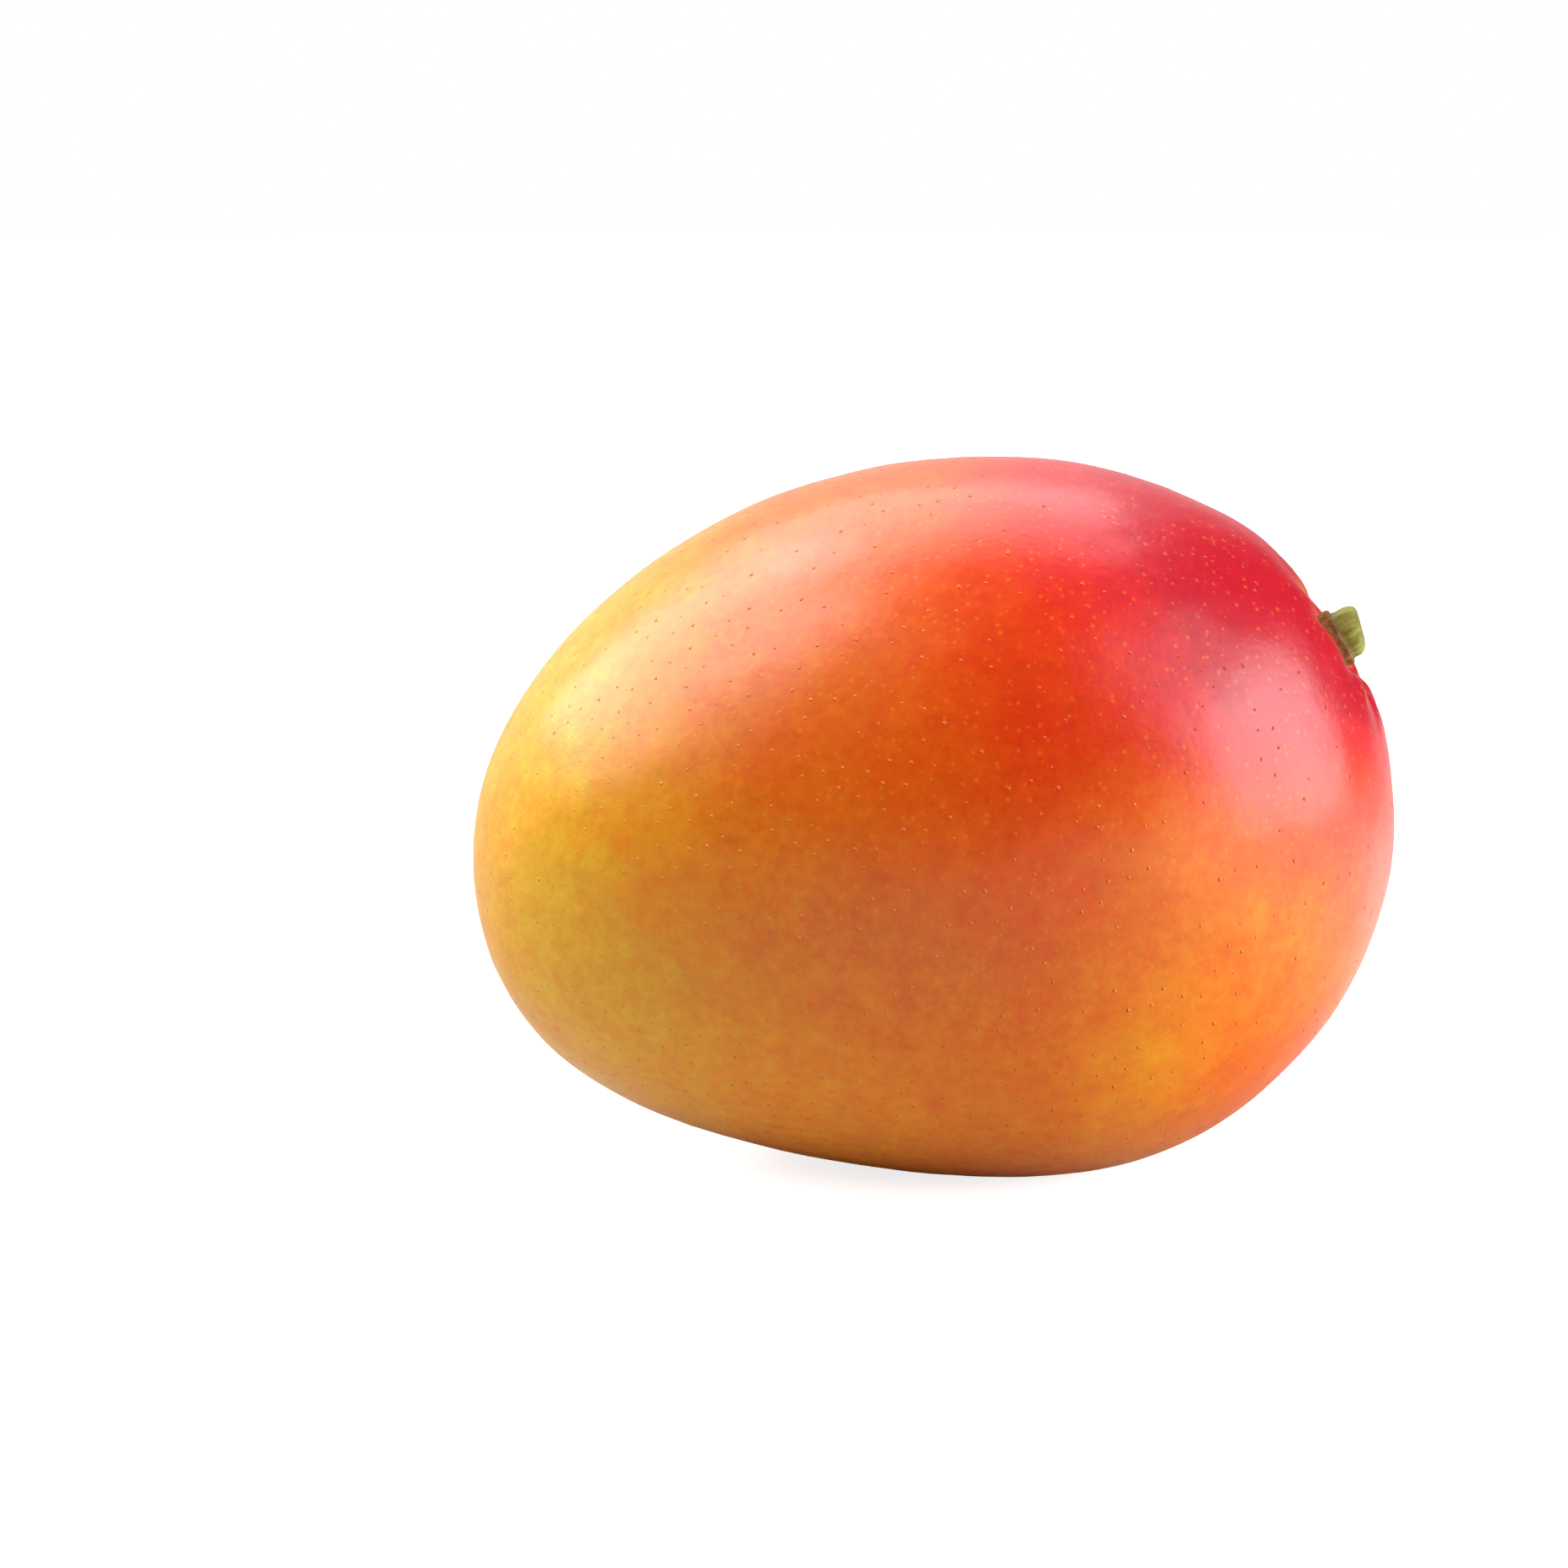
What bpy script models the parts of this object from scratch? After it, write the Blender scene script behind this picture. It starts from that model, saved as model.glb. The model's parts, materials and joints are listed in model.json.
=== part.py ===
"""A whole mango, lying on its belly edge on a flat surface, with the stub of its stem.

The fruit is one solid. It is a sphere whose every point is moved to the fruit's skin by one
rule: each section across the fruit is an egg-shaped oval, held between the outline of the back
and the outline of the belly, and as thick as the cheeks are there. The stem stub is a second
solid, which stands in a small socket in the hollow at the top of the fruit.

Sizes are in millimetres until the objects are made, which are in metres with +Z up.
The origin is on the resting spot, in the middle of the fruit's length and thickness.
"""

import math

import bmesh
import bpy
import numpy as np
from mathutils import Matrix, Vector

MM = 0.001

# Driving dimensions of the fruit. Its long axis leans up towards the stem end as it lies, and its
# lowest part is flattened by FLAT_DEPTH.
AXIS_TILT = math.radians(28.0)
FLAT_DEPTH = 1.4
THICKNESS = 84.0
BACK_FULLNESS = 0.03
SEGMENTS = 64
RINGS = 48

# The fruit's skin at each station from the stem's seat to the beak, as five sizes: how far the
# outline of the back is along the axis from the beak and across it from the stem's line, the
# same for the outline of the belly, and the cheeks' thickness as a share of THICKNESS.
STATIONS = (
    (115.0, 0.2, 115.0, 0.2, 0.0),
    (115.2, 4.6, 115.8, -4.4, 0.11),
    (115.6, 8.8, 117.2, -9.2, 0.22),
    (113.7, 15.8, 115.3, -16.8, 0.385),
    (108.6, 23.8, 110.6, -27.5, 0.575),
    (100.2, 32.8, 101.4, -37.9, 0.78),
    (86.8, 41.6, 86.6, -46.4, 0.945),
    (67.0, 48.4, 66.2, -49.2, 1.0),
    (44.4, 49.2, 43.0, -41.0, 0.925),
    (23.4, 43.2, 20.0, -24.6, 0.73),
    (9.2, 32.7, 6.9, -10.8, 0.475),
    (2.3, 20.6, 1.6, -0.4, 0.245),
    (0.2, 9.8, 0.2, 9.8, 0.0),
)

# Driving dimensions of the stem stub, which leans a little from the fruit's axis. It was cut at
# a slant, longer on the side of the back. Its foot stands in the socket, GAP clear of the fruit.
STEM_LEAN = math.radians(1.0)
STEM_RADIUS = 3.2
STEM_HEIGHT = 4.5
STEM_SIDES = 28
CUT_SLOPE = math.radians(14.0)
COLLAR_RADIUS = 3.8
COLLAR_LIFT = 0.85
COLLAR_HEIGHT = 0.8
COLLAR_ROUND = 0.4
EDGE_ROUND = 0.5
ROUND_STEPS = 3
SOCKET_DEPTH = 3.6
SOCKET_MOUTH = 1.5
GAP = 0.35

SKIN_COLOUR = (0.86, 0.24, 0.04, 1.0)
SKIN_ROUGHNESS = 0.4
STEM_COLOUR = (0.22, 0.23, 0.05, 1.0)
STEM_ROUGHNESS = 0.7


def closed_spline_slopes(values):
    """The slope at each point of a smooth closed curve through evenly spaced values."""
    count = len(values)
    index = np.arange(count)
    system = 4.0 * np.eye(count)
    system[index, (index + 1) % count] += 1.0
    system[index, (index - 1) % count] += 1.0
    ahead = np.roll(values, -1, axis=0)
    behind = np.roll(values, 1, axis=0)
    return np.linalg.solve(system, 3.0 * (ahead - behind))


class Outline:
    """The closed curve down the back from the stem's seat to the beak and up the belly.

    Each of its points is (along, across, cheek). The cheek's half thickness counts as negative
    on the way up, which makes it pass smoothly through nothing at both ends.
    """

    def __init__(self, stations):
        half = THICKNESS / 2.0
        back = [(a, b, half * cheek) for a, b, _, _, cheek in stations]
        belly = [(a, b, -half * cheek) for _, _, a, b, cheek in stations]
        self.steps = len(stations) - 1
        self.points = np.array(back + belly[-2:0:-1])
        self.slopes = closed_spline_slopes(self.points)

    def at(self, station):
        """The curve's point at a station number, which may lie between two stations."""
        count = len(self.points)
        start = math.floor(station)
        part = station - start
        first, last = start % count, (start + 1) % count
        here, there = self.points[first], self.points[last]
        leaving, arriving = self.slopes[first], self.slopes[last]
        rise = there - here
        bend = 3.0 * rise - 2.0 * leaving - arriving
        twist = leaving + arriving - 2.0 * rise
        return here + part * (leaving + part * (bend + part * twist))


def skin_point(outline, from_stem, around):
    """A point of the skin in the fruit's own frame: along the axis, across to the back, sideways.

    from_stem runs from 0 at the stem's seat to 1 at the beak, and around is the angle from the
    back, over a cheek, to the belly.
    """
    station = from_stem * outline.steps
    back = outline.at(station)
    belly = outline.at(-station)
    middle = (back + belly) / 2.0
    reach = (back - belly) / 2.0
    to_back = math.cos(around)
    to_cheek = math.sin(around)
    along, across = middle[:2] + reach[:2] * to_back
    sideways = reach[2] * to_cheek * (1.0 + BACK_FULLNESS * to_back)
    return Vector((along, across, sideways))


def resting_turn():
    """The turn from the fruit's own frame to the way it lies: beak down to -X, back up."""
    axis = Vector((math.cos(AXIS_TILT), 0.0, math.sin(AXIS_TILT)))
    back = Vector((-math.sin(AXIS_TILT), 0.0, math.cos(AXIS_TILT)))
    side = axis.cross(back)
    return Matrix((axis, back, side)).transposed()


def material(name, colour, roughness):
    """A plain material of one colour."""
    made = bpy.data.materials.new(name)
    made.use_nodes = True
    shader = made.node_tree.nodes["Principled BSDF"]
    shader.inputs["Base Color"].default_value = colour
    shader.inputs["Roughness"].default_value = roughness
    shader.inputs["Metallic"].default_value = 0.0
    return made


def finish(name, mesh_edit, looks):
    """Turns a bmesh in millimetres into an object in metres with one material."""
    bmesh.ops.scale(mesh_edit, vec=(MM, MM, MM), verts=mesh_edit.verts)
    bmesh.ops.recalc_face_normals(mesh_edit, faces=mesh_edit.faces)
    mesh = bpy.data.meshes.new(name)
    mesh_edit.to_mesh(mesh)
    mesh_edit.free()
    mesh.shade_smooth()
    mesh.materials.append(looks)
    made = bpy.data.objects.new(name, mesh)
    bpy.context.scene.collection.objects.link(made)
    return made


def lying_fruit(outline):
    """The fruit's mesh, resting on the plane Z = 0, and the move that put it there."""
    mesh_edit = bmesh.new()
    bmesh.ops.create_uvsphere(mesh_edit, u_segments=SEGMENTS, v_segments=RINGS, radius=1.0)
    turn = resting_turn()
    for vertex in mesh_edit.verts:
        from_stem = math.acos(max(-1.0, min(1.0, vertex.co.z))) / math.pi
        around = math.atan2(vertex.co.y, vertex.co.x)
        vertex.co = turn @ skin_point(outline, from_stem, around)
    lengthwise = [vertex.co.x for vertex in mesh_edit.verts]
    lowest = min(vertex.co.z for vertex in mesh_edit.verts)
    middle = (min(lengthwise) + max(lengthwise)) / 2.0
    move = Vector((-middle, 0.0, -lowest - FLAT_DEPTH))
    for vertex in mesh_edit.verts:
        vertex.co += move
        vertex.co.z = max(vertex.co.z, 0.0)
    return mesh_edit, move


def turned(profile, sides):
    """A solid turned about Z from (radius, height) pairs that start and end on the axis."""
    mesh_edit = bmesh.new()
    rows = []
    for radius, height in profile:
        if radius == 0.0:
            rows.append([mesh_edit.verts.new((0.0, 0.0, height))])
            continue
        angles = [2.0 * math.pi * side / sides for side in range(sides)]
        rows.append(
            [mesh_edit.verts.new((radius * math.cos(a), radius * math.sin(a), height)) for a in angles]
        )
    for lower, upper in zip(rows, rows[1:]):
        for side in range(sides):
            after = (side + 1) % sides
            corners = [lower[side % len(lower)], lower[after % len(lower)]]
            corners += [upper[after % len(upper)], upper[side % len(upper)]]
            mesh_edit.faces.new(list(dict.fromkeys(corners)))
    return mesh_edit


def rounded_edge(radius, height, size):
    """The (radius, height) pairs of a quarter round, from a turned solid's side to its top."""
    turns = [math.pi / 2.0 * step / ROUND_STEPS for step in range(ROUND_STEPS + 1)]
    return [
        (radius - size * (1.0 - math.cos(turn)), height - size * (1.0 - math.sin(turn)))
        for turn in turns
    ]


def stem_place(outline, move):
    """The place of the stem's own frame, whose Z leaves the fruit at its seat, X to the belly."""
    seat = resting_turn() @ skin_point(outline, 0.0, 0.0) + move
    rise = AXIS_TILT + STEM_LEAN
    axis = Vector((math.cos(rise), 0.0, math.sin(rise)))
    side = Vector((0.0, 1.0, 0.0))
    place = Matrix((side.cross(axis), side, axis)).transposed().to_4x4()
    place.translation = seat
    return place


def add_fruit(outline):
    """The fruit, and the move from its turned frame to where it rests."""
    mesh_edit, move = lying_fruit(outline)
    return finish("fruit", mesh_edit, material("skin", SKIN_COLOUR, SKIN_ROUGHNESS)), move


def add_socket(fruit, place):
    """Cuts the socket in which the stem's foot stands, as a Boolean on the fruit."""
    radius = STEM_RADIUS + GAP
    profile = (
        (0.0, -SOCKET_DEPTH),
        (radius, -SOCKET_DEPTH),
        (radius, SOCKET_MOUTH),
        (0.0, SOCKET_MOUTH),
    )
    mesh_edit = turned(profile, STEM_SIDES)
    mesh_edit.transform(place)
    cutter = finish("socket_cutter", mesh_edit, fruit.data.materials[0])
    cutter.hide_render = True
    cutter.display_type = "WIRE"
    cut = fruit.modifiers.new("stem socket", "BOOLEAN")
    cut.operation = "DIFFERENCE"
    cut.solver = "EXACT"
    cut.object = cutter


def add_stem(place):
    """The stem stub: a foot in the socket, a corky collar over its mouth, and the cut stalk."""
    foot = GAP - SOCKET_DEPTH
    neck = COLLAR_LIFT + COLLAR_HEIGHT
    profile = [
        (0.0, foot),
        (STEM_RADIUS, foot),
        (STEM_RADIUS, COLLAR_LIFT),
        (COLLAR_RADIUS, COLLAR_LIFT),
    ]
    profile += rounded_edge(COLLAR_RADIUS, neck, COLLAR_ROUND)
    profile += [(STEM_RADIUS, neck + COLLAR_ROUND)]
    profile += rounded_edge(STEM_RADIUS, STEM_HEIGHT, EDGE_ROUND)
    profile += [(0.0, STEM_HEIGHT)]
    mesh_edit = turned(profile, STEM_SIDES)
    for vertex in mesh_edit.verts:
        share = max(0.0, vertex.co.z - neck) / (STEM_HEIGHT - neck)
        vertex.co.z -= share * math.tan(CUT_SLOPE) * vertex.co.x
    mesh_edit.transform(place)
    finish("stem", mesh_edit, material("stem_bark", STEM_COLOUR, STEM_ROUGHNESS))


def main():
    for old in list(bpy.data.objects):
        bpy.data.objects.remove(old)
    outline = Outline(STATIONS)
    fruit, move = add_fruit(outline)
    place = stem_place(outline, move)
    add_socket(fruit, place)
    add_stem(place)


main()
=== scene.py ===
# %% [markdown]
# # A mango, dressed in Blender
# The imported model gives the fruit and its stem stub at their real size. This lesson replaces both
# with finer meshes that follow the same rule, and gives each surface its finish. All lengths are
# in metres, +Z is up, the stem end points to +X, and the origin is on the flat resting spot.

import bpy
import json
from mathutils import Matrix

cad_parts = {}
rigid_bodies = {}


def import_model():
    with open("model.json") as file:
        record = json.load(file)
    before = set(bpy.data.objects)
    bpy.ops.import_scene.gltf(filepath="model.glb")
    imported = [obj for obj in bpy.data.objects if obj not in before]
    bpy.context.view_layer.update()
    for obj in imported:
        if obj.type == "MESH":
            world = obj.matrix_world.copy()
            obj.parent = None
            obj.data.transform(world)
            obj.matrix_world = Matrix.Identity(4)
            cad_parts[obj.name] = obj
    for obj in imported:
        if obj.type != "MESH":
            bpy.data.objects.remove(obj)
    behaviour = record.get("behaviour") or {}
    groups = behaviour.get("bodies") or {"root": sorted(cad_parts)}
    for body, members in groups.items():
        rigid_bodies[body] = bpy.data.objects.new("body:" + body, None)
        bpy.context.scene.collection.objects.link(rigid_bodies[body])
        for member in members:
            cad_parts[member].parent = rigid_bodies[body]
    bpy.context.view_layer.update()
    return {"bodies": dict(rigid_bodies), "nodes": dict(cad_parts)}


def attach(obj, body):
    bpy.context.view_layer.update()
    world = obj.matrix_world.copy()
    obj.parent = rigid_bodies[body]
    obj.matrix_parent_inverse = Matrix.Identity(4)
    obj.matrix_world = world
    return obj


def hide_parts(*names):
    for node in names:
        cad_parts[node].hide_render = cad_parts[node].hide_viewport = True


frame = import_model()
BODY = next(iter(frame["bodies"]))
print("nodes", sorted(frame["nodes"]), "body", BODY)

# %% [markdown]
# ## Helpers for node trees
# Shader trees and Geometry Nodes trees are both made of nodes with sockets, so the same small
# functions can build either. `put` adds a node, sets its options, and feeds each input a value or
# a link. A socket knows the tree that it is in, so a node goes into the tree of what feeds it.
# The others are shorthand for the nodes that come up most, and `product` and `total` stand for a
# whole row of Math nodes.

# %% Node helpers
import json
import math

import bpy
import numpy as np
from mathutils import Matrix, Vector

MM = 0.001


def put(kind, sockets=None, tree=None, **options):
    """Adds a node, sets its options, and gives each named input a value or a link.

    The node goes into the tree of what is linked to it. Where nothing is, the tree is given.
    """
    sockets = sockets or {}
    links = [value for value in sockets.values() if isinstance(value, bpy.types.NodeSocket)]
    tree = tree or links[0].id_data
    made = tree.nodes.new(kind)
    for name, value in options.items():
        setattr(made, name, value)
    for name, value in sockets.items():
        if isinstance(value, bpy.types.NodeSocket):
            tree.links.new(value, made.inputs[name])
        else:
            made.inputs[name].default_value = value
    return made


def calc(operation, *values):
    """The result of a Math node."""
    return put("ShaderNodeMath", dict(enumerate(values)), operation=operation).outputs[0]


def product(first, *others):
    """Numbers multiplied together."""
    for other in others:
        first = calc("MULTIPLY", first, other)
    return first


def total(start, *terms):
    """A start value, plus the product of each (value, factor) pair."""
    for value, factor in terms:
        start = calc("MULTIPLY_ADD", value, factor, start)
    return start


def weighted(outputs, weights):
    """The pairs that `total` takes, from a group's outputs and a weight for each name."""
    return [(outputs[name], weight) for name, weight in weights.items()]


def vector(operation, *values):
    """The vector result of a Vector Math node."""
    return put("ShaderNodeVectorMath", dict(enumerate(values)), operation=operation).outputs["Vector"]


def measure(operation, *values):
    """The number that a Vector Math node such as LENGTH or DOT_PRODUCT gives."""
    return put("ShaderNodeVectorMath", dict(enumerate(values)), operation=operation).outputs["Value"]


def stretch(direction, factor):
    """A vector times a number."""
    sockets = {0: direction, "Scale": factor}
    return put("ShaderNodeVectorMath", sockets, operation="SCALE").outputs["Vector"]


def ranged(value, start, end, shape="LINEAR"):
    """Rises from 0 where value is start to 1 where it is end, in a straight line."""
    sockets = {"Value": value, "From Min": start, "From Max": end}
    return put("ShaderNodeMapRange", sockets, interpolation_type=shape).outputs["Result"]


def smooth(value, start, end):
    """Rises in the same way, but with soft ends."""
    return ranged(value, start, end, "SMOOTHSTEP")


def parts_of(source):
    """The X, Y and Z of a vector."""
    return put("ShaderNodeSeparateXYZ", {0: source}).outputs


def joined(x, y, z):
    """A vector from its X, Y and Z."""
    return put("ShaderNodeCombineXYZ", {0: x, 1: y, 2: z}).outputs[0]


def mixed(share, first, second):
    """Two colours mixed: the first where share is 0 and the second where it is 1."""
    return put("ShaderNodeMix", {0: share, 6: first, 7: second}, data_type="RGBA").outputs[2]


def colour(red, green, blue):
    """An sRGB colour in 0 to 255, as the linear colour that shaders work in."""
    linear = [
        part / 12.92 if part <= 0.04045 else ((part + 0.055) / 1.055) ** 2.4
        for part in (red / 255.0, green / 255.0, blue / 255.0)
    ]
    return (*linear, 1.0)


print("middle grey in linear light", round(colour(128, 128, 128)[0], 3))

# %% [markdown]
# ## Helpers for groups and objects
# A node group is a tree with named sockets of its own, so that it can be used again with other
# values. Here an input is given as its name and its default, whose type tells the socket's kind,
# or as the kind's name where it has no default.

# %% Group and object helpers
SOCKET_KINDS = {int: "Int", float: "Float", tuple: "Vector"}


def new_group(name, tree_kind, inputs, outputs):
    """A node group with named sockets: its tree, the inputs it is given, and its outputs."""
    tree = bpy.data.node_groups.new(name, tree_kind + "NodeTree")
    for label, start in inputs.items():
        kind = start if isinstance(start, str) else SOCKET_KINDS[type(start)]
        socket = tree.interface.new_socket(label, in_out="INPUT", socket_type="NodeSocket" + kind)
        if kind != start:
            socket.default_value = start
    for label, kind in outputs.items():
        tree.interface.new_socket(label, in_out="OUTPUT", socket_type="NodeSocket" + kind)
    return tree, tree.nodes.new("NodeGroupInput").outputs, tree.nodes.new("NodeGroupOutput").inputs


def put_group(group, sockets):
    """Places a group in a tree of its own kind, and returns the group's outputs."""
    return put(group.bl_idname.replace("Tree", "Group"), sockets, node_tree=group).outputs


def connect(inputs, links):
    """Links each named input to a socket."""
    for name, socket in links.items():
        socket.id_data.links.new(socket, inputs[name])


def new_object(name, data):
    """A new object at the origin, in the scene."""
    made = bpy.data.objects.new(name, data)
    bpy.context.scene.collection.objects.link(made)
    return made


def in_mm(lengths):
    """Lengths in millimetres, rounded for printing."""
    return [round(float(part) / MM, 3) for part in lengths]


# %% [markdown]
# ## The rule of the fruit's shape
# A mango isn't a turned shape: its back is fuller than its belly, and the stem sits off the middle.
# The model's rule has one row for each station from the stem's seat to the beak, with a point on
# the back's outline, one on the belly's, and the cheeks' thickness. A smooth closed curve runs
# through all the rows, down the back and up the belly. Only its points and slopes are worked out
# here. A small guide mesh carries them into Geometry Nodes, where the skin is built.

# %% Stations of the fruit
AXIS_TILT = math.radians(28.0)
FLAT_DEPTH = 1.4 * MM
THICKNESS = 84.0 * MM
BACK_FULLNESS = 0.03

# Along the axis from the beak and across it, for the back and for the belly, in millimetres,
# and the cheeks' share of THICKNESS.
STATIONS = (
    (115.0, 0.2, 115.0, 0.2, 0.0),
    (115.2, 4.6, 115.8, -4.4, 0.11),
    (115.6, 8.8, 117.2, -9.2, 0.22),
    (113.7, 15.8, 115.3, -16.8, 0.385),
    (108.6, 23.8, 110.6, -27.5, 0.575),
    (100.2, 32.8, 101.4, -37.9, 0.78),
    (86.8, 41.6, 86.6, -46.4, 0.945),
    (67.0, 48.4, 66.2, -49.2, 1.0),
    (44.4, 49.2, 43.0, -41.0, 0.925),
    (23.4, 43.2, 20.0, -24.6, 0.73),
    (9.2, 32.7, 6.9, -10.8, 0.475),
    (2.3, 20.6, 1.6, -0.4, 0.245),
    (0.2, 9.8, 0.2, 9.8, 0.0),
)
STEPS = len(STATIONS) - 1


def guide_points():
    """The closed curve's points (along, across, cheek): down the back, then up the belly."""
    half = THICKNESS / 2.0
    back = [(MM * a, MM * b, half * cheek) for a, b, _, _, cheek in STATIONS]
    belly = [(MM * a, MM * b, -half * cheek) for _, _, a, b, cheek in STATIONS]
    return np.array(back + belly[-2:0:-1])


def closed_slopes(points):
    """The slope at each point that makes the closed curve smooth."""
    count = len(points)
    index = np.arange(count)
    system = 4.0 * np.eye(count)
    system[index, (index + 1) % count] += 1.0
    system[index, (index - 1) % count] += 1.0
    return np.linalg.solve(system, 3.0 * (np.roll(points, -1, axis=0) - np.roll(points, 1, axis=0)))


CURVE = guide_points()
SLOPES = closed_slopes(CURVE)


def point_guide(name, points):
    """A mesh of loose points, which carries them into Geometry Nodes."""
    mesh = bpy.data.meshes.new(name)
    mesh.from_pydata([tuple(point) for point in points], [], [])
    return new_object(name, mesh)


shape_guide = point_guide("shape_guide", CURVE)
slope_data = shape_guide.data.attributes.new("slope", "FLOAT_VECTOR", "POINT").data
slope_data.foreach_set("vector", SLOPES.astype(np.float32).ravel())
print("guide points", len(CURVE))

# %% [markdown]
# ## How the fruit lies
# The fruit rests on its belly edge with the stem end raised, so its own frame is tilted, and then
# moved until the middle of its length is over the origin and its lowest part is a little below
# the floor. The extremes are read off the outline at the same quarter stations as in the model.

# %% Place of the fruit
QUARTERS = 4


def outline_at(station):
    """The closed curve's point at a station number: the same rule as in the node group below."""
    start = math.floor(station)
    part = station - start
    first = start % len(CURVE)
    last = (start + 1) % len(CURVE)
    rise = CURVE[last] - CURVE[first]
    bend = 3.0 * rise - 2.0 * SLOPES[first] - SLOPES[last]
    twist = SLOPES[first] + SLOPES[last] - 2.0 * rise
    return CURVE[first] + part * (SLOPES[first] + part * (bend + part * twist))


def end_point(station):
    """An end of the fruit in its own frame: along, across, and no way sideways."""
    along, across, _ = outline_at(station)
    return float(along), float(across), 0.0


def tilted(along, across):
    """A point of the fruit's own frame, tilted as the fruit lies: its X and its Z."""
    x = along * math.cos(AXIS_TILT) - across * math.sin(AXIS_TILT)
    z = along * math.sin(AXIS_TILT) + across * math.cos(AXIS_TILT)
    return x, z


profile = [outline_at(step / QUARTERS) for step in range(2 * STEPS * QUARTERS)]
side_view = np.array([tilted(along, across) for along, across, _ in profile])
MOVE_X = -(side_view[:, 0].min() + side_view[:, 0].max()) / 2.0
MOVE_Z = -side_view[:, 1].min() - FLAT_DEPTH
SEAT = end_point(0.0)
BEAK = end_point(float(STEPS))
print("move in mm", in_mm((MOVE_X, MOVE_Z)), "seat", in_mm(SEAT), "beak", in_mm(BEAK))

# %% [markdown]
# ## Node groups for the shape
# Every rounded piece here starts as a cube whose vertices are pushed out to a ball. A ball made
# this way has even quads all over and no poles, so nothing pinches at the stem or the beak. The
# first group makes the ball and gives each vertex two numbers: how far it is from the top, and
# which way round it lies. The second reads the guide mesh and gives the outline's point at any
# station.

# %% Group: ball
def position(tree):
    """Where each vertex is."""
    return put("GeometryNodeInputPosition", tree=tree).outputs[0]


def make_ball_group():
    """A ball of even quads, with each vertex's share of the way down and its direction round."""
    outputs = {"Mesh": "Geometry", "Way Down": "Float", "Cosine": "Float", "Sine": "Float"}
    tree, given, result = new_group("ball", "Geometry", {"Detail": 64}, outputs)
    cube_sockets = {"Size": (2.0, 2.0, 2.0)}
    cube_sockets |= {f"Vertices {axis}": given["Detail"] for axis in "XYZ"}
    cube = put("GeometryNodeMeshCube", cube_sockets)
    even = [calc("TANGENT", product(part, math.pi / 4.0)) for part in parts_of(position(tree))]
    direction = parts_of(vector("NORMALIZE", joined(*even)))
    level = measure("LENGTH", joined(direction[0], direction[1], 0.0))
    connect(result, {
        "Mesh": cube.outputs["Mesh"],
        "Way Down": calc("DIVIDE", calc("ARCCOSINE", direction[2]), math.pi),
        "Cosine": calc("DIVIDE", direction[0], level),
        "Sine": calc("DIVIDE", direction[1], level),
    })
    return tree


ball_group = make_ball_group()
print("group", ball_group.name)

# %% Group: outline at a station
def guide_mesh(guide):
    """The mesh of a guide object."""
    return put("GeometryNodeObjectInfo", {"Object": guide}, transform_space="ORIGINAL").outputs["Geometry"]


def guide_value(mesh, value, index):
    """A vector field of a guide's mesh, read at one of its vertices."""
    sockets = {"Geometry": mesh, "Value": value, "Index": index}
    made = put("GeometryNodeSampleIndex", sockets, data_type="FLOAT_VECTOR", domain="POINT")
    return made.outputs["Value"]


def make_outline_group(count):
    """The closed curve through the guide's points, at any station number."""
    inputs = {"Guide": "Geometry", "Station": 0.0}
    tree, given, result = new_group("outline_at", "Geometry", inputs, {"Point": "Vector"})
    start = calc("FLOOR", given["Station"])
    part = calc("SUBTRACT", given["Station"], start)
    first = calc("FLOORED_MODULO", start, float(count))
    last = calc("FLOORED_MODULO", calc("ADD", start, 1.0), float(count))
    place = position(tree)
    named = put("GeometryNodeInputNamedAttribute", {"Name": "slope"}, tree, data_type="FLOAT_VECTOR")
    slope = named.outputs["Attribute"]
    here, there = (guide_value(given["Guide"], place, index) for index in (first, last))
    leaving, arriving = (guide_value(given["Guide"], slope, index) for index in (first, last))
    rise = vector("SUBTRACT", there, here)
    both = vector("ADD", leaving, arriving)
    twist = vector("SUBTRACT", both, stretch(rise, 2.0))
    bend = vector("SUBTRACT", stretch(rise, 3.0), vector("ADD", both, leaving))
    curve = vector("ADD", bend, stretch(twist, part))
    curve = vector("ADD", leaving, stretch(curve, part))
    curve = vector("ADD", here, stretch(curve, part))
    connect(result, {"Point": curve})
    return tree


outline_group = make_outline_group(len(CURVE))
print("group", outline_group.name, "over", len(CURVE), "stations")

# %% [markdown]
# ## The skin
# The real skin is a smooth leathery hide drawn tight over the flesh. It isn't a perfect form: it
# has gentle lumps a thumb's width across, a fine unevenness, shallow puckers where it is gathered
# round the stem, a hollow that the stub stands in, and a small dimple at the beak where the
# flower's style was. All of these are made by moving the vertices inwards along their normals, so
# the fruit stays within its size. It could be sculpted, but a tree with named inputs keeps every
# size in view.
#
# A field is worked out afresh after each move, at the vertex's new place. The depth has to belong
# to the place on the ball, so it is captured on the mesh before the first move.

# %% Noise that moves the skin
def waves(place, size, seed_shift, detail=2.0):
    """Soft noise between about -1 and 1, whose lumps are about `size` metres across."""
    moved = vector("ADD", place, (seed_shift, seed_shift, seed_shift))
    scale = put("ShaderNodeMath", {0: 1.0, 1: size}, place.id_data, operation="DIVIDE").outputs[0]
    sockets = {"Vector": moved, "Scale": scale, "Detail": detail}
    noise = put("ShaderNodeTexNoise", sockets, noise_dimensions="3D").outputs[0]
    return total(-1.0, (noise, 2.0))


print("noise scale for lumps of 20 mm", round(1.0 / (20.0 * MM), 1))

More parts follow.
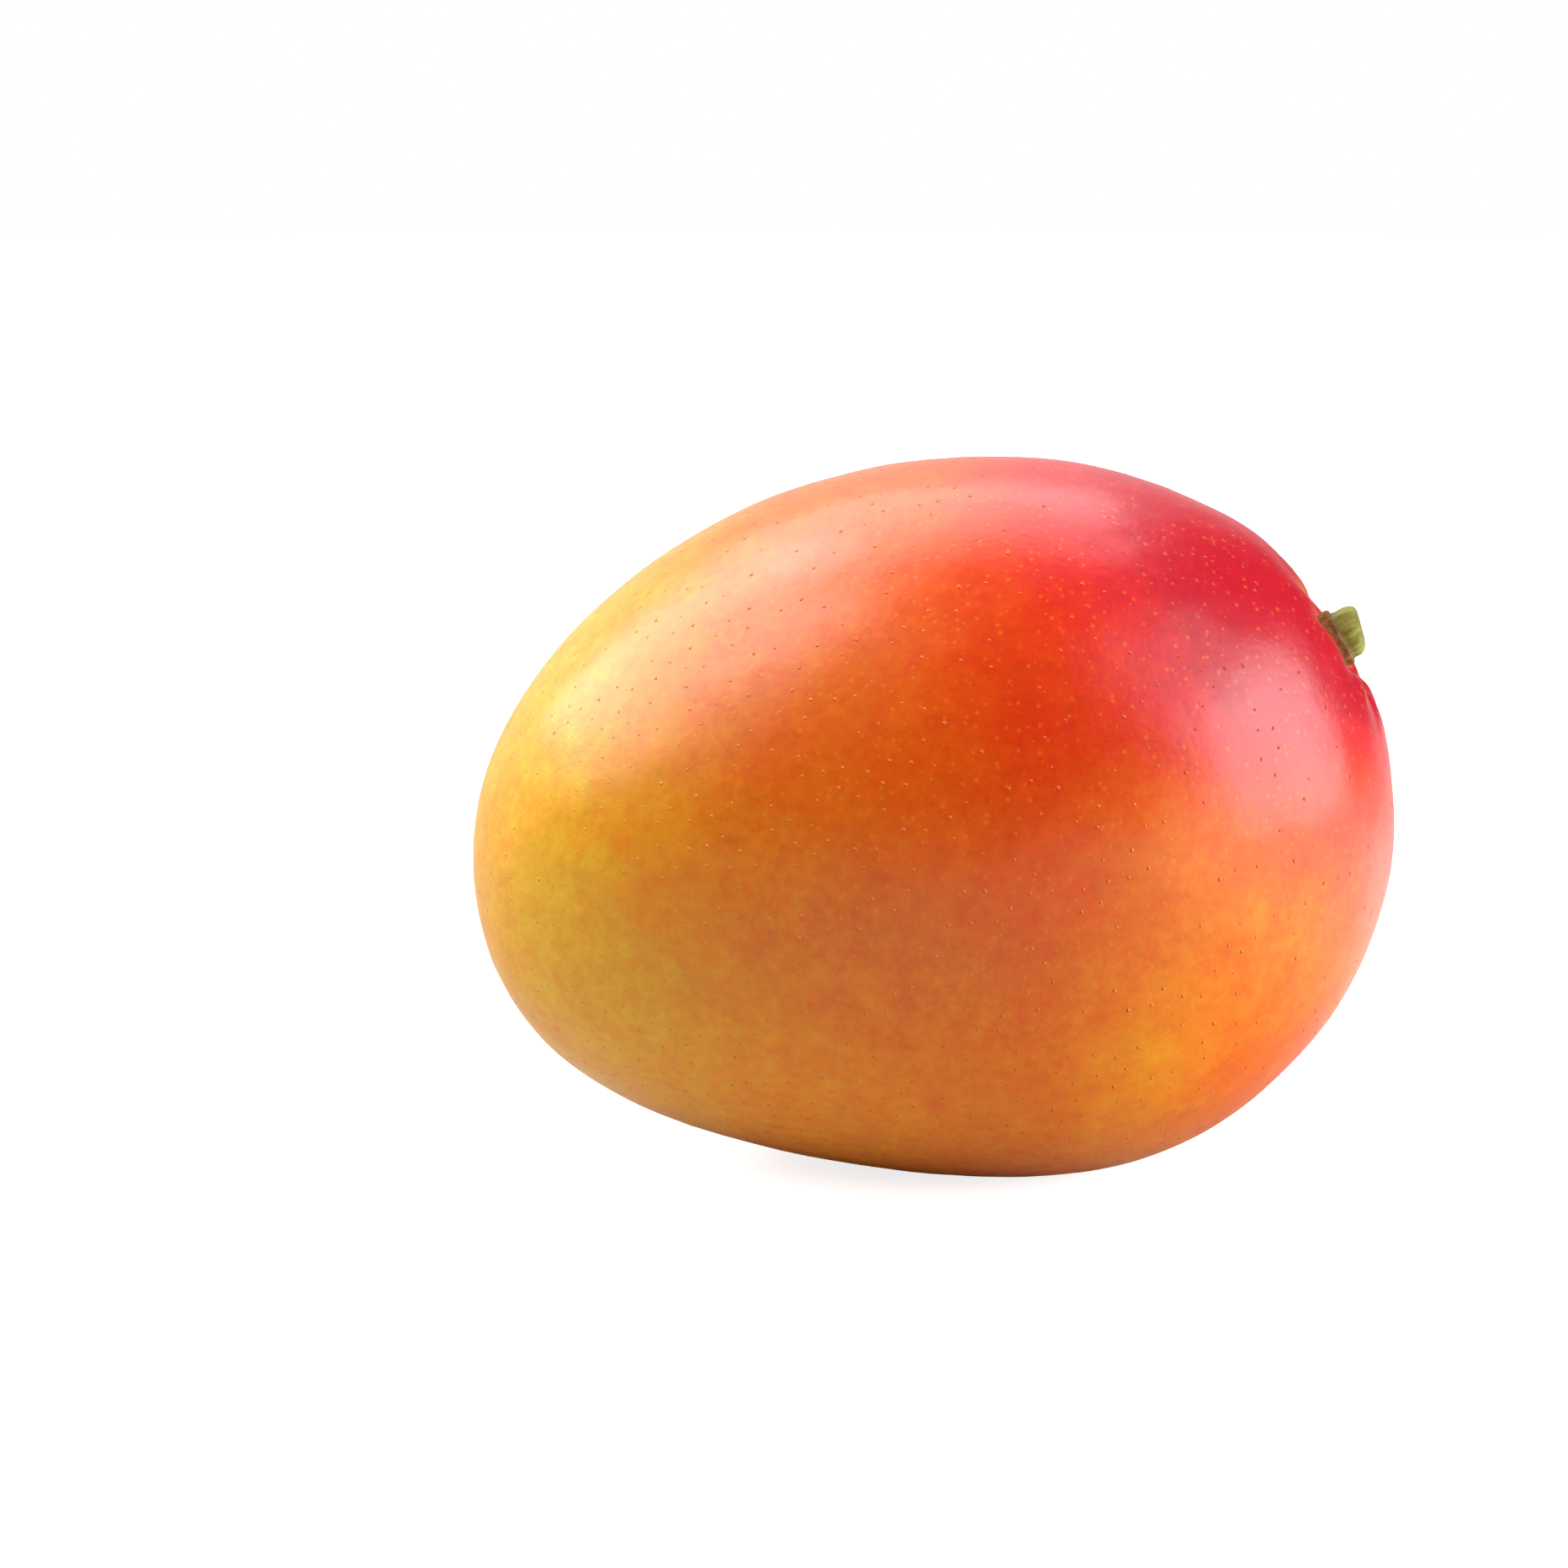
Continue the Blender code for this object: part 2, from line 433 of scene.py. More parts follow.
# %% Where a point of the skin lies
def outline_points(guide, way_down):
    """The points of the back and of the belly at a share of the way from the stem to the beak."""
    mesh = guide_mesh(guide)
    station = product(way_down, float(STEPS))
    stations = (station, product(station, -1.0))
    return [put_group(outline_group, {"Guide": mesh, "Station": at})["Point"] for at in stations]


def own_point(back, belly, cosine, sine):
    """The skin's point in the fruit's own frame: along, across and sideways."""
    middle = stretch(vector("ADD", back, belly), 0.5)
    reach = stretch(vector("SUBTRACT", back, belly), 0.5)
    swung = vector("ADD", middle, stretch(reach, cosine))
    along, across, _ = parts_of(swung)
    fullness = total(1.0, (cosine, BACK_FULLNESS))
    return along, across, product(parts_of(reach)[2], sine, fullness)


def lying_point(along, across, sideways):
    """The same point where the fruit lies."""
    cosine, sine = math.cos(AXIS_TILT), math.sin(AXIS_TILT)
    x = total(MOVE_X, (along, cosine), (across, -sine))
    z = total(MOVE_Z, (along, sine), (across, cosine))
    return joined(x, product(sideways, -1.0), z)


print("tilt in degrees", round(math.degrees(AXIS_TILT), 1))

# %% Dips in the skin
WOBBLE_SIZE = 9.0 * MM
WOBBLE_TURN = 2.4
WOBBLE_SEED = 1.7
PUCKER_START = (3.0 * MM, 6.0 * MM)
STEM_END = (90.0 * MM, 105.0 * MM)
HOLLOW_FLOOR = 4.0 * MM


def pucker_depth(given, along, across, sideways, place):
    """How deep the gathered skin round the stem dips, in metres."""
    out = calc("SUBTRACT", across, SEAT[1])
    around = calc("ARCTAN2", sideways, out)
    radius = measure("LENGTH", joined(out, sideways, 0.0))
    wobble = waves(place, WOBBLE_SIZE, WOBBLE_SEED)
    phase = total(product(wobble, WOBBLE_TURN), (around, given["Pucker Count"]))
    fold = total(0.5, (calc("COSINE", phase), -0.5))
    near = smooth(radius, *PUCKER_START)
    far = smooth(radius, given["Pucker Reach"], PUCKER_START[1])
    share = product(near, far, smooth(along, *STEM_END))
    return product(calc("MULTIPLY", fold, share), given["Pucker Depth"])


def dip_depth(own, centre, reach, floor, depth):
    """How deep a round dip is, in metres: none past its reach, and all of its depth on its floor."""
    off = measure("DISTANCE", own, centre)
    return product(smooth(off, reach, floor), depth)


print("puckers set in at mm", in_mm(PUCKER_START), "hollow floor", in_mm([HOLLOW_FLOOR]))

# %% Tree: fruit skin
SKIN_INPUTS = {
    "Guide": "Object",
    "Detail": 128,
    "Margin": 0.15 * MM,
    "Lump Size": 20.0 * MM,
    "Lump Depth": 0.32 * MM,
    "Grain Size": 4.0 * MM,
    "Grain Depth": 0.05 * MM,
    "Pucker Count": 9.0,
    "Pucker Depth": 0.5 * MM,
    "Pucker Reach": 17.0 * MM,
    "Hollow Depth": 1.2 * MM,
    "Hollow Reach": 9.0 * MM,
    "Scar Depth": 0.7 * MM,
    "Scar Reach": 3.2 * MM,
    "Flat Round": 1.0 * MM,
    "Seed": 0.37,
    "Finish": "Material",
}
GRAIN_SEED = 0.9


def moved_mesh(geometry, **move):
    """A mesh whose vertices take a new Position, or move by an Offset."""
    return put("GeometryNodeSetPosition", {"Geometry": geometry, **move}).outputs[0]


def put_captured(mesh, depth):
    """The mesh, and the depth as it is before the vertices move, because fields follow a vertex."""
    kept = mesh.id_data.nodes.new("GeometryNodeCaptureAttribute")
    kept.capture_items.new("FLOAT", "Depth")
    connect(kept.inputs, {"Geometry": mesh, "Depth": depth})
    return kept.outputs


def finish_tree(geometry, finish, result):
    """The end of each tree: instances made real, smooth shading, and the material."""
    real = put("GeometryNodeRealizeInstances", {"Geometry": geometry}).outputs[0]
    shaded = put("GeometryNodeSetShadeSmooth", {"Geometry": real}).outputs[0]
    done = put("GeometryNodeSetMaterial", {"Geometry": shaded, "Material": finish})
    connect(result, {"Geometry": done.outputs[0]})


def make_skin_tree():
    """The whole skin of the fruit, from the guide's outline to its lumps, puckers and scar."""
    tree, given, result = new_group("fruit_skin_rule", "Geometry", SKIN_INPUTS, {"Geometry": "Geometry"})
    ball = put_group(ball_group, {"Detail": given["Detail"]})
    back, belly = outline_points(given["Guide"], ball["Way Down"])
    along, across, sideways = own_point(back, belly, ball["Cosine"], ball["Sine"])
    own = joined(along, across, sideways)
    place = lying_point(along, across, sideways)
    lumps = waves(vector("ADD", place, given["Seed"]), given["Lump Size"], 0.0)
    grain = waves(place, given["Grain Size"], GRAIN_SEED)
    depth = total(given["Margin"], (lumps, given["Lump Depth"]))
    depth = calc("ADD", depth, given["Lump Depth"])
    depth = total(depth, (grain, given["Grain Depth"]))
    depth = calc("MAXIMUM", calc("ADD", depth, given["Grain Depth"]), given["Margin"])
    dips = (
        pucker_depth(given, along, across, sideways, place),
        dip_depth(own, SEAT, given["Hollow Reach"], HOLLOW_FLOOR, given["Hollow Depth"]),
        dip_depth(own, BEAK, given["Scar Reach"], 0.0, given["Scar Depth"]),
    )
    for dip in dips:
        depth = calc("ADD", depth, dip)
    kept = put_captured(ball["Mesh"], depth)
    shaped = moved_mesh(kept["Geometry"], Position=place)
    normal = put("GeometryNodeInputNormal", tree=tree).outputs["Normal"]
    inwards = stretch(normal, product(kept["Depth"], -1.0))
    dented = moved_mesh(shaped, Offset=inwards)
    x, y, z = parts_of(position(tree))
    on_floor = calc("SMOOTH_MAX", z, 0.0, given["Flat Round"])
    rested = moved_mesh(dented, Position=joined(x, y, on_floor))
    finish_tree(rested, given["Finish"], result)
    return tree


skin_tree = make_skin_tree()
print("tree", skin_tree.name, "nodes", len(skin_tree.nodes))

# %% [markdown]
# ## Lenticels
# A mango breathes through small corky dots in its skin, called lenticels. They are crowded and
# fine towards the beak, and larger and further apart towards the stem. A picture of dots would
# slide over the seams, so real ones are scattered: points spread over the finished skin, none
# closer than a set distance, and a flattened twenty-sided ball sunk half way at each.

# %% Tree: lenticels
LENTICEL_INPUTS = {
    "Skin": "Object",
    "Spacing": 2.3 * MM,
    "Stem Side Thinning": 0.62,
    "Smallest": 0.17 * MM,
    "Largest": 0.26 * MM,
    "Flatness": 0.13,
    "Seed": 11,
    "Finish": "Material",
}
MOST_DOTS = 400000.0
STEM_SIDE_LEAN = 0.6
STEM_SIDE = (-45.0 * MM, 85.0 * MM)
OFF_FLOOR = (0.3 * MM, 1.2 * MM)
BEAK_SIZE = 0.9
STEM_SIZE_GAIN = 0.35
OVALS = (0.75, 1.25)
OVAL_SEED = 3.0


def random_value(low, high, seed):
    """A random number for each point."""
    sockets = {"Min": low, "Max": high, "Seed": seed}
    return put("FunctionNodeRandomValue", sockets, data_type="FLOAT").outputs["Value"]


def make_lenticel_tree():
    """Small flattened balls spread over the skin."""
    tree, given, result = new_group("lenticel_rule", "Geometry", LENTICEL_INPUTS, {"Geometry": "Geometry"})
    x, _, z = parts_of(position(tree))
    stem_side = smooth(total(x, (z, STEM_SIDE_LEAN)), *STEM_SIDE)
    thinning = product(stem_side, given["Stem Side Thinning"])
    density = product(calc("SUBTRACT", 1.0, thinning), smooth(z, *OFF_FLOOR))
    spread_sockets = {
        "Mesh": guide_mesh(given["Skin"]),
        "Distance Min": given["Spacing"],
        "Density Max": MOST_DOTS,
        "Density Factor": density,
        "Seed": given["Seed"],
    }
    spread = put("GeometryNodeDistributePointsOnFaces", spread_sockets, distribute_method="POISSON")
    dot = put("GeometryNodeMeshIcoSphere", {"Radius": 1.0, "Subdivisions": 1}, tree)
    size = random_value(given["Smallest"], given["Largest"], given["Seed"])
    size = product(size, total(BEAK_SIZE, (stem_side, STEM_SIZE_GAIN)))
    oval = random_value(*OVALS, calc("ADD", given["Seed"], OVAL_SEED))
    place_sockets = {
        "Points": spread.outputs["Points"],
        "Instance": dot.outputs["Mesh"],
        "Rotation": spread.outputs["Rotation"],
        "Scale": joined(size, product(size, oval), product(size, given["Flatness"])),
    }
    placed = put("GeometryNodeInstanceOnPoints", place_sockets)
    finish_tree(placed.outputs[0], given["Finish"], result)
    return tree


lenticel_tree = make_lenticel_tree()
print("tree", lenticel_tree.name, "nodes", len(lenticel_tree.nodes))

# %% [markdown]
# ## The stem stub
# The stub is a short piece of green stalk, ribbed lengthwise where it has begun to dry, cut at a
# slant, and ringed by a corky collar where it leaves the fruit. Stalk and collar are both turned
# forms made uneven, so one tree serves both: the same ball is moved to a profile of (radius,
# height) rows that a guide mesh carries, and then ribs and knobs are added round it.

# %% Place of the stub
STEM_LEAN = math.radians(1.0)
STEM_HEIGHT = 4.5 * MM
CUT_SLOPE = math.radians(14.0)
COLLAR_LIFT = 0.85 * MM
COLLAR_HEIGHT = 0.8 * MM
NECK = COLLAR_LIFT + COLLAR_HEIGHT


def stem_place():
    """The stub's own frame: Z leaves the fruit at its seat, X points to the belly."""
    x, z = tilted(*SEAT[:2])
    rise = AXIS_TILT + STEM_LEAN
    axis = Vector((math.cos(rise), 0.0, math.sin(rise)))
    side = Vector((0.0, 1.0, 0.0))
    place = Matrix((side.cross(axis), side, axis)).transposed().to_4x4()
    place.translation = Vector((x + MOVE_X, 0.0, z + MOVE_Z))
    return place


STEM_PLACE = stem_place()
STEM_SEAT = tuple(STEM_PLACE.translation)
STEM_AXES = [tuple(axis) for axis in STEM_PLACE.to_3x3().col]
print("stem seat in mm", in_mm(STEM_SEAT))

# %% Profiles of the stalk and the collar
PROFILE_ROWS = 96

# Each corner is (radius, height above the seat) in millimetres, from the top down. The stalk's
# top is rounded, and a little hollow in its middle, where the pith has shrunk.
STALK_PROFILE = (
    (0.0, 4.22), (0.5, 4.2), (0.65, 4.32), (1.4, 4.36), (1.9, 4.32), (2.35, 4.18), (2.7, 3.9),
    (2.95, 3.5), (3.08, 3.0), (3.1, 2.5), (3.06, 2.1), (3.1, 1.8), (3.2, 1.5),
    (3.2, 0.4), (3.0, -1.6), (0.0, -1.6),
)
COLLAR_PROFILE = (
    (0.0, 1.3), (3.0, 1.35), (3.3, 1.6), (3.5, 1.62), (3.68, 1.5), (3.76, 1.25), (3.72, 0.95),
    (3.66, 0.6), (3.6, 0.1), (3.5, -0.8), (3.3, -2.2), (0.0, -2.2),
)


def even_rows(corners):
    """A profile's corners in millimetres, as rows spaced evenly along it, in metres."""
    points = np.array(corners) * MM
    steps = np.linalg.norm(np.diff(points, axis=0), axis=1)
    reached = np.concatenate(([0.0], np.cumsum(steps)))
    wanted = np.linspace(0.0, reached[-1], PROFILE_ROWS)
    radius, height = (np.interp(wanted, reached, column) for column in points.T)
    return np.column_stack((radius, height, np.zeros(PROFILE_ROWS)))


stalk_guide = point_guide("stalk_profile", even_rows(STALK_PROFILE))
collar_guide = point_guide("collar_profile", even_rows(COLLAR_PROFILE))
print("profile rows", PROFILE_ROWS)

# %% Tree: turned and ribbed piece
TURNED_INPUTS = {
    "Profile": "Object",
    "Detail": 56,
    "Rib Count": 7.0,
    "Rib Depth": 0.16 * MM,
    "Knob Size": 1.1 * MM,
    "Knob Depth": 0.1 * MM,
    "Cut Slope": 0.0,
    "Cut Above": NECK,
    "Rise": STEM_HEIGHT,
    "Seed": 0.2,
    "Move": (0.0, 0.0, 0.0),
    "Turn": (0.0, 0.0, 0.0),
    "Finish": "Material",
}
RIB_DRIFT_SIZE = 0.9
RIB_DRIFT_TURN = 2.2
RIBBED_OUTSIDE = (1.6 * MM, 3.0 * MM)
KNOB_DETAIL = 3.0


def profile_at(guide, way_down):
    """The profile's radius and height at a share of the way down."""
    mesh = guide_mesh(guide)
    row = product(way_down, float(PROFILE_ROWS - 1))
    start = calc("MINIMUM", calc("FLOOR", row), float(PROFILE_ROWS - 2))
    part = calc("SUBTRACT", row, start)
    place = position(guide.id_data)
    here = guide_value(mesh, place, start)
    there = guide_value(mesh, place, calc("ADD", start, 1.0))
    step = stretch(vector("SUBTRACT", there, here), part)
    return parts_of(vector("ADD", here, step))


def make_turned_tree():
    """A turned form with ribs and knobs, cut at a slant, and put in its place."""
    tree, given, result = new_group("turned_rule", "Geometry", TURNED_INPUTS, {"Geometry": "Geometry"})
    ball = put_group(ball_group, {"Detail": given["Detail"]})
    radius, height, _ = profile_at(given["Profile"], ball["Way Down"])
    angle = calc("ARCTAN2", ball["Sine"], ball["Cosine"])
    round_place = joined(ball["Cosine"], ball["Sine"], given["Seed"])
    drift = waves(round_place, RIB_DRIFT_SIZE, 0.0)
    phase = total(product(drift, RIB_DRIFT_TURN), (angle, given["Rib Count"]))
    rib = product(calc("COSINE", phase), given["Rib Depth"])
    radius = total(radius, (rib, smooth(radius, *RIBBED_OUTSIDE)))
    x = product(radius, ball["Cosine"])
    y = product(radius, ball["Sine"])
    above = calc("MAXIMUM", calc("SUBTRACT", height, given["Cut Above"]), 0.0)
    share = calc("DIVIDE", above, calc("SUBTRACT", given["Rise"], given["Cut Above"]))
    slant = product(calc("TANGENT", given["Cut Slope"]), x)
    height = calc("SUBTRACT", height, product(share, slant))
    shaped = moved_mesh(ball["Mesh"], Position=joined(x, y, height))
    seeded = vector("ADD", position(tree), given["Seed"])
    knobs = product(waves(seeded, given["Knob Size"], 0.0, KNOB_DETAIL), given["Knob Depth"])
    normal = put("GeometryNodeInputNormal", tree=tree).outputs["Normal"]
    knobbed = moved_mesh(shaped, Offset=stretch(normal, knobs))
    move_sockets = {"Geometry": knobbed, "Translation": given["Move"], "Rotation": given["Turn"]}
    moved = put("GeometryNodeTransform", move_sockets)
    finish_tree(moved.outputs[0], given["Finish"], result)
    return tree


turned_tree = make_turned_tree()
print("tree", turned_tree.name, "nodes", len(turned_tree.nodes))

# %% [markdown]
# ## Frames for the finishes
# Colours on a mango follow the fruit, not the world: the blush comes from the sunny shoulder, the
# cork sits round the stalk. Two small groups turn the position on the object into sizes that mean
# something, such as how far a point is from the stem. Both read Object coordinates, which here
# are the same as the fruit's place, because every object stands at the origin.

# %% Groups: fruit frame and stem frame
FIBRE_STRETCH = 0.18


def make_fruit_frame():
    """How far a point of the fruit is across its axis, towards the back, and how far off its stem."""
    outputs = {"Across": "Float", "Off Stem": "Float"}
    tree, given, result = new_group("fruit_frame", "Shader", {"Place": "Vector"}, outputs)
    place = vector("SUBTRACT", given["Place"], (MOVE_X, 0.0, MOVE_Z))
    cosine, sine = math.cos(AXIS_TILT), math.sin(AXIS_TILT)
    axes = ((cosine, 0.0, sine), (-sine, 0.0, cosine), (0.0, -1.0, 0.0))
    own = [measure("DOT_PRODUCT", place, axis) for axis in axes]
    off_stem = measure("DISTANCE", joined(*own), SEAT)
    connect(result, {"Across": own[1], "Off Stem": off_stem})
    return tree


def make_stem_frame():
    """Where a point lies on the stub: its height, its distance from the middle, and its way round."""
    outputs = {"Height": "Float", "Radius": "Float", "Round": "Vector"}
    tree, given, result = new_group("stem_frame", "Shader", {"Place": "Vector"}, outputs)
    place = vector("SUBTRACT", given["Place"], STEM_SEAT)
    x, y, z = (measure("DOT_PRODUCT", place, axis) for axis in STEM_AXES)
    radius = measure("LENGTH", joined(x, y, 0.0))
    stretched = joined(x, y, product(z, FIBRE_STRETCH))
    connect(result, {"Height": z, "Radius": radius, "Round": stretched})
    return tree


fruit_frame = make_fruit_frame()
stem_frame = make_stem_frame()
print("groups", fruit_frame.name, stem_frame.name)

# %% [markdown]
# ## Speckle and pores
# Close up, ripe skin isn't one colour. Its cells differ a little from their neighbours, in soft
# flecks a millimetre or two across, and between the lenticels it is pricked with finer pores. One
# group gives the flecks and one the pores, and each material uses them at its own size.

# %% Groups: speckle and pores
FLECK_SIZES = {"Fine": 1.0, "Broad": 3.5, "Cloud": 16.0}
FLECK_DETAIL = 3.0
FLECK_SEED = 0.1
FLECK_SPAN = (-0.6, 0.6)
PORE_SCATTER = 0.9
PORE_LEAST = 0.5
PORE_GAIN = 0.8


def make_speckle():
    """Flecks at three sizes, each between about -1 and 1."""
    inputs = {"Place": "Vector", "Size": 1.6 * MM, "Seed": 0.0}
    tree, given, result = new_group("speckle", "Shader", inputs, {name: "Float" for name in FLECK_SIZES})
    place = vector("ADD", given["Place"], given["Seed"])
    for name, factor in FLECK_SIZES.items():
        size = product(given["Size"], factor)
        connect(result, {name: waves(place, size, FLECK_SEED * factor, FLECK_DETAIL)})
    return tree


def make_pores():
    """Round spots, one to a cell, each of its own size."""
    inputs = {"Place": "Vector", "Spacing": 1.3 * MM, "Width": 0.2}
    tree, given, result = new_group("pores", "Shader", inputs, {"Spot": "Float"})
    scale = calc("DIVIDE", 1.0, given["Spacing"])
    sockets = {"Vector": given["Place"], "Scale": scale, "Randomness": PORE_SCATTER}
    cells = put("ShaderNodeTexVoronoi", sockets, feature="F1").outputs
    chance = parts_of(cells["Color"])[0]
    width = product(given["Width"], total(PORE_LEAST, (chance, PORE_GAIN)))
    connect(result, {"Spot": smooth(cells["Distance"], width, 0.0)})
    return tree


speckle = make_speckle()
pores = make_pores()
print("groups", speckle.name, pores.name)

# %% [markdown]
# ## The blush
# A mango ripens from green to gold, and the shoulder that had the sun turns red on top of that.
# On this fruit the blush runs from crimson at the stem, through scarlet and orange over the
# cheek, to golden yellow at the beak, and the underside stays orange. So the colour is a ramp
# over one number, the redness. It rises slowly from the beak to the stem, less so on the
# underside, and a few broad patches add to it or take from it. Noise at several sizes frays the
# edges, as the real blush is made of fine dots of colour. Round the stalk the skin has a ring of
# russet, which is thin tan cork.

# %% Group: blush
BLUSH_STOPS = (
    (0.00, colour(216, 163, 30)),
    (0.08, colour(214, 146, 22)),
    (0.20, colour(213, 122, 14)),
    (0.33, colour(207, 96, 8)),
    (0.47, colour(203, 75, 4)),
    (0.60, colour(197, 55, 3)),
    (0.74, colour(194, 38, 12)),
    (0.87, colour(186, 27, 30)),
    # The darkest crimson is partly real and partly painted shade, deepened for the ridge and round the
    # stem.
    (1.00, colour(162, 12, 30)),
)
BLUSH_RANGE = (-0.1, 1.5)
BLUSH_START = -0.03
BEAK_RISE, BEAK_RANGE = 0.36, (-50.0 * MM, -20.0 * MM)
CHEEK_RISE, CHEEK_RANGE = 0.47, (-30.0 * MM, 14.0 * MM)
UNDERSIDE_SHARE, UNDERSIDE_RANGE = 0.45, (24.0 * MM, 60.0 * MM)
SHOULDER_LEAN = 0.8

# Each patch is the change of redness where it is full, and the ranges in millimetres over which
# it sets in, each as (measure, none, full). They are the ridge, the paler cheek below it, the
# lower edge of the stem end, the sunny shoulder, the far cheek, and the skin round the stem. At
# the ridge and round the stem the crimson is real, but it is deepened as painted shade as well.
BLUSH_PATCHES = (
    # The ridge: real crimson, made deeper as painted shade.
    (0.2, ("Z", 54.0, 68.0), ("X", -8.0, 16.0)),
    (-0.22, ("X", 12.0, 32.0), ("Z", 70.0, 54.0)),
    (0.45, ("X", 20.0, 48.0), ("Z", 44.0, 18.0)),
    (0.52, ("Shoulder", 72.0, 97.0)),
    (0.15, ("Y", 0.0, 40.0)),
    # Round the stem: real crimson, pushed towards the darkest stop as painted shade.
    (0.22, ("Off Stem", 25.0, 11.0)),
)
BLUSH_FLECK = 1.5 * MM
BLUSH_FRAY = {"Cloud": 0.14, "Broad": 0.14, "Fine": 0.15}
RUSSET_MOST = 0.8
RUSSET_RANGE = (9.0 * MM, 3.8 * MM)
RUSSET_FRAY = {"Broad": 1.4 * MM, "Fine": 1.2 * MM}
RUSSET_TO_BACK, BACK_RANGE = -2.4 * MM, (0.0, 8.0 * MM)


def put_ramp(value, stops):
    """A colour ramp over the given (place, colour) stops."""
    made = put("ShaderNodeValToRGB", {"Fac": value})
    band = made.color_ramp
    while len(band.elements) < len(stops):
        band.elements.new(0.5)
    for element, (place, shade) in zip(band.elements, stops):
        element.position = place
        element.color = shade
    return made.outputs["Color"]


def put_redness(place, off_stem):
    """The redness before it is frayed."""
    x, y, z = parts_of(place)
    found = {"X": x, "Y": y, "Z": z, "Shoulder": total(x, (z, SHOULDER_LEAN)), "Off Stem": off_stem}
    rises = ((smooth(x, *BEAK_RANGE), BEAK_RISE), (ranged(x, *CHEEK_RANGE), CHEEK_RISE))
    upward = total(UNDERSIDE_SHARE, (ranged(z, *UNDERSIDE_RANGE), 1.0 - UNDERSIDE_SHARE))
    red = product(total(BLUSH_START, *rises), upward)
    for change, *ranges in BLUSH_PATCHES:
        shares = [smooth(found[name], none * MM, full * MM) for name, none, full in ranges]
        red = total(red, (product(*shares), change))
    return red


def make_blush():
    """The colour of the skin, how red it is from 0 to 1, and how russet it is."""
    inputs = {"Place": "Vector", "Fray": 1.0}
    outputs = {"Color": "Color", "Redness": "Float", "Russet": "Float"}
    tree, given, result = new_group("blush", "Shader", inputs, outputs)
    place = given["Place"]
    frame_of = put_group(fruit_frame, {"Place": place})
    flecks = put_group(speckle, {"Place": place, "Size": BLUSH_FLECK})
    red = put_redness(place, frame_of["Off Stem"])
    red = total(red, (total(0.0, *weighted(flecks, BLUSH_FRAY)), given["Fray"]))
    redness = ranged(red, *BLUSH_RANGE)
    to_back = ranged(frame_of["Across"], *BACK_RANGE)
    edge = total(frame_of["Off Stem"], (to_back, RUSSET_TO_BACK), *weighted(flecks, RUSSET_FRAY))
    russet = product(smooth(edge, *RUSSET_RANGE), RUSSET_MOST)
    tan = mixed(smooth(flecks["Fine"], *FLECK_SPAN), colour(150, 92, 40), colour(182, 126, 58))
    shade = mixed(russet, put_ramp(redness, BLUSH_STOPS), tan)
    connect(result, {"Color": shade, "Redness": redness, "Russet": russet})
    return tree


blush = make_blush()
print("group", blush.name, "stops", len(BLUSH_STOPS), "patches", len(BLUSH_PATCHES))

# %% [markdown]
# ## Finish of the skin
# Ripe mango skin is waxy: it has a soft satin gloss under a thinner, smoother coat of wax. The
# gloss is weak where light falls straight on and strong towards the edges, which is what gives
# the pale rims. The base shader carries the colour and a broad gloss, the coat carries a tighter
# one, and a very low bump gives the fine orange-peel that breaks the highlights up. The colour is
# painted a little lighter low down, and most towards the beak, as painted bounce light from the
# floor.

# %% Material: skin
SKIN_FINISH = {"Specular IOR Level": 0.28, "Coat Roughness": 0.25, "Coat IOR": 1.45}
SKIN_SHADE = {"Fine": 0.11, "Broad": 0.1}
SKIN_RELIEF = {"Broad": 0.5, "Fine": 0.6}
# Painted bounce light: how much lighter the colour is made low down, and more so towards the beak.
LOW_PAINTED_BOUNCE, PAINTED_BOUNCE_LOW_RANGE = 0.35, (44.0 * MM, 2.0 * MM)
BEAK_PAINTED_BOUNCE, PAINTED_BOUNCE_BEAK_SIDE = 0.18, (16.0 * MM, -24.0 * MM)
PORE_COLOUR, PORE_SHARE, PORE_RELIEF = colour(226, 138, 30), 0.3, -0.5


def new_material(name, settings):
    """A material with a Principled shader, and its constants set on the shader's own sockets."""
    made = bpy.data.materials.new(name)
    made.use_nodes = True
    shader = made.node_tree.nodes["Principled BSDF"]
    for socket, value in settings.items():
        shader.inputs[socket].default_value = value
    place = made.node_tree.nodes.new("ShaderNodeTexCoord").outputs["Object"]
    return made, shader.inputs, place


def bumped(height, distance, strength):
    """A normal from a height, where distance is the relief in metres."""
    sockets = {"Strength": strength, "Distance": distance, "Height": height}
    return put("ShaderNodeBump", sockets).outputs["Normal"]


